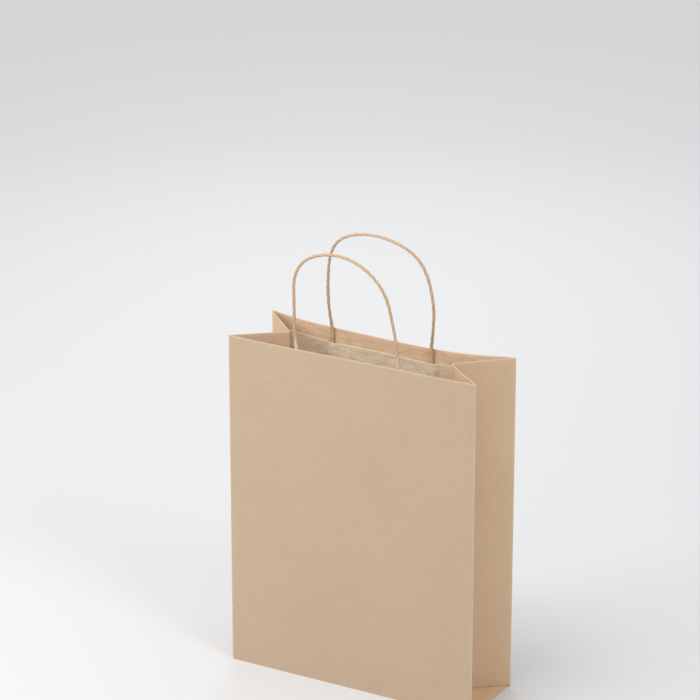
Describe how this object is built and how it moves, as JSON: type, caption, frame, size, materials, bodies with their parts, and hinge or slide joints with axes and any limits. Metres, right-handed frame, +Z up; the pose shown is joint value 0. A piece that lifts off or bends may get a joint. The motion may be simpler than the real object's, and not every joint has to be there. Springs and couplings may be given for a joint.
{
  "type": "gift bag",
  "caption": "Upright kraft paper gift bag with inward-folding side gussets, overlapping base flaps and two twisted paper cord handles that tilt at the rim.",
  "frame": {"origin": "centre of the base on the floor, midway between the front and back panels as the bag stands", "axes": "+X to the bag's right seen from the front, +Y to the back, +Z up through the mouth"},
  "size_m": [0.2488, 0.0915, 0.4231],
  "materials": {
    "kraft_paper": "matte uncoated brown kraft",
    "cord": "matte twisted paper cord",
    "patch_paper": "matte uncoated kraft, slightly greyer"
  },
  "bodies": {
    "front": {"front_panel": "kraft_paper", "front_base_flap": "kraft_paper", "front_handle_patch": "patch_paper", "front_handle_ends": "cord"},
    "left_gusset_front": {"left_gusset_front": "kraft_paper"},
    "left_gusset_rear": {"left_gusset_rear": "kraft_paper"},
    "right_gusset_front": {"right_gusset_front": "kraft_paper"},
    "right_gusset_rear": {"right_gusset_rear": "kraft_paper"},
    "back": {"back_panel": "kraft_paper", "rear_base_flap": "kraft_paper", "seam_flap": "kraft_paper", "back_handle_patch": "patch_paper", "back_handle_ends": "cord"},
    "front_handle": {"front_handle": "cord"},
    "back_handle": {"back_handle": "cord"}
  },
  "joints": [
    {"name": "bag_opens", "type": "hinge", "parent": "front", "child": "left_gusset_front", "pos_m": [-0.125, -0.038, 0], "axis": [0, 0, 1], "range_deg": [-10, 48.63]},
    {"name": "left_middle_crease", "type": "hinge", "parent": "left_gusset_front", "child": "left_gusset_rear", "pos_m": [-0.08185, 0, 0], "axis": [0, 0, 1], "range_deg": [-97.28, 20.02]},
    {"name": "left_rear_crease", "type": "hinge", "parent": "left_gusset_rear", "child": "back", "pos_m": [-0.125, 0.038, 0], "axis": [0, 0, 1], "range_deg": [-10.01, 48.64]},
    {"name": "right_front_crease", "type": "hinge", "parent": "front", "child": "right_gusset_front", "pos_m": [0.125, -0.038, 0], "axis": [0, 0, 1], "range_deg": [-48.64, 10.01]},
    {"name": "right_middle_crease", "type": "hinge", "parent": "right_gusset_front", "child": "right_gusset_rear", "pos_m": [0.08185, 0, 0], "axis": [0, 0, 1], "range_deg": [-20.02, 97.28]},
    {"name": "front_handle_tilt", "type": "hinge", "parent": "front", "child": "front_handle", "pos_m": [0, -0.03648, 0.3216], "axis": [1, 0, 0], "range_deg": [-18, 66]},
    {"name": "back_handle_tilt", "type": "hinge", "parent": "back", "child": "back_handle", "pos_m": [-0.00211, 0.02225, 0.3216], "axis": [0.9994, -0.0345, 0], "range_deg": [-84, 3]}
  ],
  "couplings": [
    {"joint": "left_middle_crease", "follows": "bag_opens", "ratio": -2},
    {"joint": "left_rear_crease", "follows": "bag_opens", "ratio": 1},
    {"joint": "right_front_crease", "follows": "bag_opens", "ratio": -1},
    {"joint": "right_middle_crease", "follows": "bag_opens", "ratio": 2}
  ]
}
